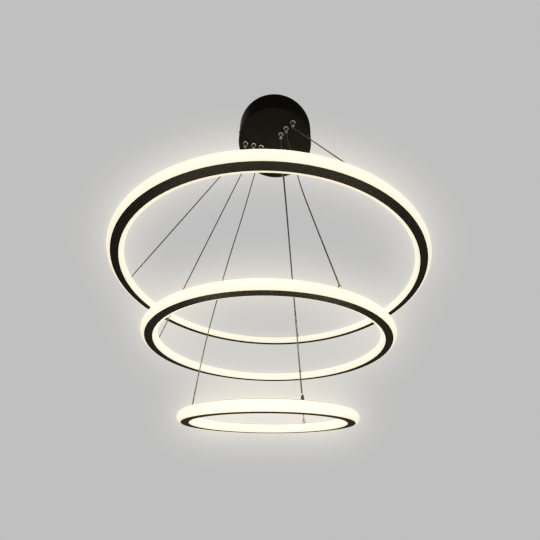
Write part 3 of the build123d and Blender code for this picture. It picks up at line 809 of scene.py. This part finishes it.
class CHANDELIER_OT_grippers(bpy.types.Operator):
    """Models the turned cable grippers with their plungers and springs, and finishes their nuts"""

    bl_idname = "chandelier.grippers"
    bl_label = "Cable grippers"

    sides, corner_steps = 48, 6
    # sizes in millimetres
    nipple_height, nipple_radius, nipple_bore = 9, 5.0, 2.1
    flange_radius, flange_height, flange_corner = 9.0, 4, 1.8
    barrel_radius, groove_radius, groove_depths = 6.5, 6.3, (7.0, 13.0)
    mouth_radius, chamber_radius, chamber_floor, chamber_roof = 2.56, 4.6, 3.5, 15.5
    plunger_radius, plunger_bore, head_radius, head_height = 2.5, 1.9, 4.3, 2.5

    def body_outline(self, low, high):
        """Nipple, flange with a rounded lower edge, barrel with two grooves, nose and hollow."""
        top = high - self.nipple_height * MILLIMETRE
        outline = profile(high, (self.nipple_bore, 0), (4.7, 0), (self.nipple_radius, -0.3))
        outline += profile(top, (self.nipple_radius, 0), (8.6, 0), (8.9, -0.12),
                           (self.flange_radius, -0.4))
        corner_middle = self.flange_radius - self.flange_corner
        corner_depth = self.flange_height - self.flange_corner
        for step in range(self.corner_steps + 1):
            angle = math.pi / 2 * step / self.corner_steps
            outline += profile(top, (corner_middle + self.flange_corner * math.cos(angle),
                                     -(corner_depth + self.flange_corner * math.sin(angle))))
        outline += profile(top, (self.barrel_radius, -self.flange_height))
        for depth in self.groove_depths:
            outline += profile(top, (self.barrel_radius, -depth),
                               (self.groove_radius, -(depth + 0.2)),
                               (self.groove_radius, -(depth + 0.5)),
                               (self.barrel_radius, -(depth + 0.7)))
        outline += profile(top, (self.barrel_radius, -17.2), (6.35, -17.7), (6.0, -18.1))
        outline += profile(low, (4.6, 0.5), (4.4, 0.15), (4.1, 0), (self.mouth_radius, 0),
                           (self.mouth_radius, self.chamber_floor),
                           (self.chamber_radius, self.chamber_floor),
                           (self.chamber_radius, self.chamber_roof),
                           (self.nipple_bore, self.chamber_roof))
        return outline

    def plunger_outline(self, low, high):
        """A thin tube with a rolled end and a head."""
        head = high - self.head_height * MILLIMETRE
        return (profile(low, (self.plunger_bore, 0.2), (2.05, 0), (2.25, 0), (2.45, 0.12),
                        (self.plunger_radius, 0.4))
                + profile(head, (self.plunger_radius, 0), (4.1, 0), (self.head_radius, 0.2))
                + profile(high, (self.head_radius, -0.2), (4.1, 0), (self.plunger_bore, 0)))

    def middles(self):
        """The middles of the grippers in X and Y: those of their plungers."""
        boxes = [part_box(f"{ring}_plunger_{number}")
                 for ring in RING_NAMES for number in CABLE_NUMBERS]
        return [((low.x + high.x) / 2, (low.y + high.y) / 2) for low, high in boxes]

    def execute(self, context):
        chrome = polished_chrome()
        low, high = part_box("gripper_bodies")
        body = turned_form("gripper_bodies_turned", self.body_outline(low.z, high.z), self.sides)
        bodies = copies_at(body, [(x, y, 0) for x, y in self.middles()])
        smooth(bodies)
        finish_piece(bodies, "canopy", "chrome", chrome, "gripper_bodies")
        for ring in RING_NAMES:
            for number in CABLE_NUMBERS:
                node = f"{ring}_plunger_{number}"
                low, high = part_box(node)
                middle = (low + high) / 2
                plunger = turned_form(f"{node}_turned", self.plunger_outline(low.z, high.z),
                                      self.sides)
                plunger.location = (middle.x, middle.y, 0)
                apply_place(plunger)
                smooth(plunger)
                finish_piece(plunger, node, "chrome", chrome, node)
                self.spring(ring, number, middle)
        paint("gripper_nuts", zinc_plate())
        paint("cable_tails", cable_steel())
        return {"FINISHED"}

    def spring(self, ring, number, middle):
        """A small wire coil round the plunger in its chamber."""
        clear_selection()
        low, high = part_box("gripper_springs")
        wire_radius, wire_sides, coil_radius = 0.25 * MILLIMETRE, 8, 3.1 * MILLIMETRE
        turns, steps = 5, 16
        rise = high.z - low.z - 2 * wire_radius
        start = (middle.x + coil_radius, middle.y, low.z + wire_radius)
        bpy.ops.mesh.primitive_circle_add(vertices=wire_sides, radius=wire_radius, location=start,
                                          rotation=(math.pi / 2, 0, 0))
        coil = bpy.context.object
        coil.name = coil.data.name = f"{ring}_spring_{number}"
        apply_place(coil)
        bpy.ops.object.mode_set(mode="EDIT")
        bpy.ops.mesh.select_all(action="SELECT")
        bpy.ops.mesh.spin(steps=turns * steps, angle=math.tau * turns,
                          center=(middle.x, middle.y, 0), axis=(0, 0, 1), dupli=False)
        bpy.ops.object.mode_set(mode="OBJECT")
        for index, vertex in enumerate(coil.data.vertices):
            vertex.co.z += rise * (index // wire_sides) / (turns * steps)
        close_ends(coil)
        smooth(coil, degrees=60)
        finish_piece(coil, "canopy", "spring_steel", spring_wire(), "gripper_springs")
        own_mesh(coil)


class CHANDELIER_OT_canopy(bpy.types.Operator):
    """Finishes the canopy, its bracket, the driver and the wiring"""

    bl_idname = "chandelier.canopy"
    bl_label = "Canopy and its contents"

    def execute(self, context):
        finishes = {
            "canopy_shell": black_canopy(),
            "canopy_side_screws": black_screw(),
            "ceiling_bracket": zinc_plate(),
            "driver_case": driver_plastic(),
            "driver_cover": driver_plastic(),
            "driver_board": board_material(),
            "driver_screws": zinc_plate(),
            "terminal_block": moulded("terminal_plastic", (0.80, 0.80, 0.77), roughness=0.3),
            "earth_screw": zinc_plate(),
            "mains_leads": moulded("brown_wire", (0.16, 0.07, 0.03)),
            "output_leads": white_wire(),
        }
        for node, material in finishes.items():
            paint(node, material)
        return {"FINISHED"}


class CHANDELIER_OT_stage(bpy.types.Operator):
    """Makes the pale floor, the grey backdrop, the soft lights and the haze round the rings"""

    bl_idname = "chandelier.stage"
    bl_label = "Stage"

    lights = (  # name, place, diameter and watts
        ("soft_top", (-0.2, 0.9, 2.6), 1.6, 50.0),
        ("soft_front", (-1.7, -1.6, -2.4), 1.4, 1.2),
        ("soft_side", (2.3, 0.9, -1.6), 1.4, 3.0),
    )
    near_width, wide_width = 0.018, 0.100  # of the hazes, as shares of the picture's width
    haze_from, haze_full = 0.64, 0.78  # brightness at which haze begins and is complete

    def floor(self):
        clear_selection()
        settings = stage_settings()
        bpy.ops.mesh.primitive_circle_add(vertices=96, radius=settings.floor_radius,
                                          fill_type="NGON", location=(0, 0, settings.floor_height))
        floor = bpy.context.object
        floor.name = "floor"
        apply_place(floor)
        floor.data.materials.append(self.pale_floor())

    def pale_floor(self):
        """Pale paint that looks evenly lit, and throws little of that light back at the object."""
        material = coated("pale_floor", (0.55, 0.55, 0.54), roughness=0.8, tone=0.03, grain=60.0,
                          patch=1.5, relief=0.1, Specular_IOR_Level=0.1)
        nodes, links = material.node_tree.nodes, material.node_tree.links
        shader = nodes["Principled BSDF"]
        shader.inputs["Emission Color"].default_value = (0.36, 0.36, 0.355, 1)
        seen = nodes.new("ShaderNodeLightPath")
        links.new(seen.outputs["Is Camera Ray"], shader.inputs["Emission Strength"])
        return material

    def light(self, name, place, diameter, watts):
        """A soft round light that points at the middle of the object."""
        clear_selection()
        bpy.ops.object.light_add(type="AREA", location=place)
        light = bpy.context.object
        light.name = name
        light.data.shape = "DISK"
        light.data.size = diameter
        light.data.energy = watts
        target = (CAD_BOX[0] + CAD_BOX[1]) / 2
        light.rotation_euler = (target - Vector(place)).to_track_quat("-Z", "Y").to_euler()

    def backdrop(self):
        """Plain grey where the camera looks, and a weaker warm light for the object itself."""
        world = bpy.data.worlds.new("backdrop")
        bpy.context.scene.world = world
        world.use_nodes = True
        world.node_tree.nodes.clear()
        nodes, links = world.node_tree.nodes, world.node_tree.links
        seen = nodes.new("ShaderNodeLightPath")
        grey, glow = nodes.new("ShaderNodeBackground"), nodes.new("ShaderNodeBackground")
        level = stage_settings().backdrop
        grey.inputs["Color"].default_value = (level, level, level, 1)
        glow.inputs["Color"].default_value = (*stage_settings().room_glow, 1)
        choice = nodes.new("ShaderNodeMixShader")
        output = nodes.new("ShaderNodeOutputWorld")
        links.new(seen.outputs["Is Camera Ray"], choice.inputs[0])
        links.new(glow.outputs[0], choice.inputs[1])
        links.new(grey.outputs[0], choice.inputs[2])
        links.new(choice.outputs[0], output.inputs["Surface"])

    def haze(self):
        """Brightens the backdrop near the lit rings, and leaves black and white as they are."""
        scene = bpy.context.scene
        scene.use_nodes = True
        tree = scene.node_tree
        tree.nodes.clear()
        nodes, links = tree.nodes, tree.links

        def blend(kind, first, second, clamp=False):
            node = nodes.new("CompositorNodeMixRGB")
            node.blend_type = kind
            node.use_clamp = clamp
            for socket, source in ((node.inputs[1], first), (node.inputs[2], second)):
                if isinstance(source, tuple):
                    socket.default_value = source
                else:
                    links.new(source, socket)
            return node.outputs[0]

        picture = nodes.new("CompositorNodeRLayers").outputs["Image"]
        brightness = nodes.new("CompositorNodeRGBToBW")
        links.new(picture, brightness.inputs[0])
        glowing = nodes.new("CompositorNodeValToRGB")
        stops = ((self.haze_from, 0), (self.haze_full, 1))
        for element, (position, value) in zip(glowing.color_ramp.elements, stops):
            element.position, element.color = position, (value, value, value, 1)
        links.new(brightness.outputs[0], glowing.inputs[0])
        hazes = []
        settings = stage_settings()
        full = 4  # a colour times its inverse is a quarter at the most
        for width, strength in ((self.near_width, settings.near_haze),
                                (self.wide_width, settings.wide_haze)):
            pixels = nodes.new("CompositorNodeRelativeToPixel")
            pixels.data_type = "VECTOR"
            pixels.reference_dimension = "X"
            pixels.inputs[0].default_value = (width, width)
            links.new(picture, pixels.inputs["Image"])
            blur = nodes.new("CompositorNodeBlur")
            blur.filter_type = "GAUSS"
            links.new(glowing.outputs["Image"], blur.inputs["Image"])
            links.new(pixels.outputs[1], blur.inputs["Size"])
            tint = tuple(full * strength * part for part in settings.haze_colour)
            hazes.append(blend("MULTIPLY", blur.outputs["Image"], (*tint, 1)))
        dark = nodes.new("CompositorNodeInvert")
        links.new(picture, dark.inputs["Color"])
        middle = blend("MULTIPLY", picture, dark.outputs["Color"], clamp=True)
        glow = blend("MULTIPLY", blend("ADD", *hazes), middle)
        output = nodes.new("CompositorNodeComposite")
        links.new(blend("ADD", picture, glow), output.inputs["Image"])

    def execute(self, context):
        self.floor()
        self.backdrop()
        for name, place, diameter, watts in self.lights:
            self.light(name, place, diameter, watts)
        self.haze()
        context.scene.view_settings.view_transform = "Standard"
        context.scene.view_settings.look = "None"
        return {"FINISHED"}


class CHANDELIER_PT_panel(bpy.types.Panel):
    """Lists the steps of the model"""

    bl_idname = "CHANDELIER_PT_panel"
    bl_label = "Ring chandelier"
    bl_space_type = "VIEW_3D"
    bl_region_type = "UI"
    bl_category = "Chandelier"

    def draw(self, context):
        for step in STEPS:
            self.layout.operator(step.bl_idname)


STEPS = (
    CHANDELIER_OT_camera,
    CHANDELIER_OT_cables,
    CHANDELIER_OT_diffusers,
    CHANDELIER_OT_ring_frames,
    CHANDELIER_OT_cable_cones,
    CHANDELIER_OT_grippers,
    CHANDELIER_OT_canopy,
    CHANDELIER_OT_stage,
)
SETTINGS = {
    "chandelier_sizes": ChandelierSizes,
    "chandelier_colours": ChandelierColours,
    "chandelier_stage": ChandelierStage,
}


def register():
    for group in SETTINGS.values():
        bpy.utils.register_class(group)
    for step in STEPS:
        bpy.utils.register_class(step)
    bpy.utils.register_class(CHANDELIER_PT_panel)
    for name, group in SETTINGS.items():
        setattr(bpy.types.Scene, name, bpy.props.PointerProperty(type=group))


def unregister():
    for name in SETTINGS:
        delattr(bpy.types.Scene, name)
    for kind in (CHANDELIER_PT_panel, *reversed(STEPS), *SETTINGS.values()):
        bpy.utils.unregister_class(kind)


def main():
    register()
    for step in STEPS:
        group, name = step.bl_idname.split(".")
        getattr(getattr(bpy.ops, group), name)()
    clear_selection()


if __name__ == "__main__":
    main()
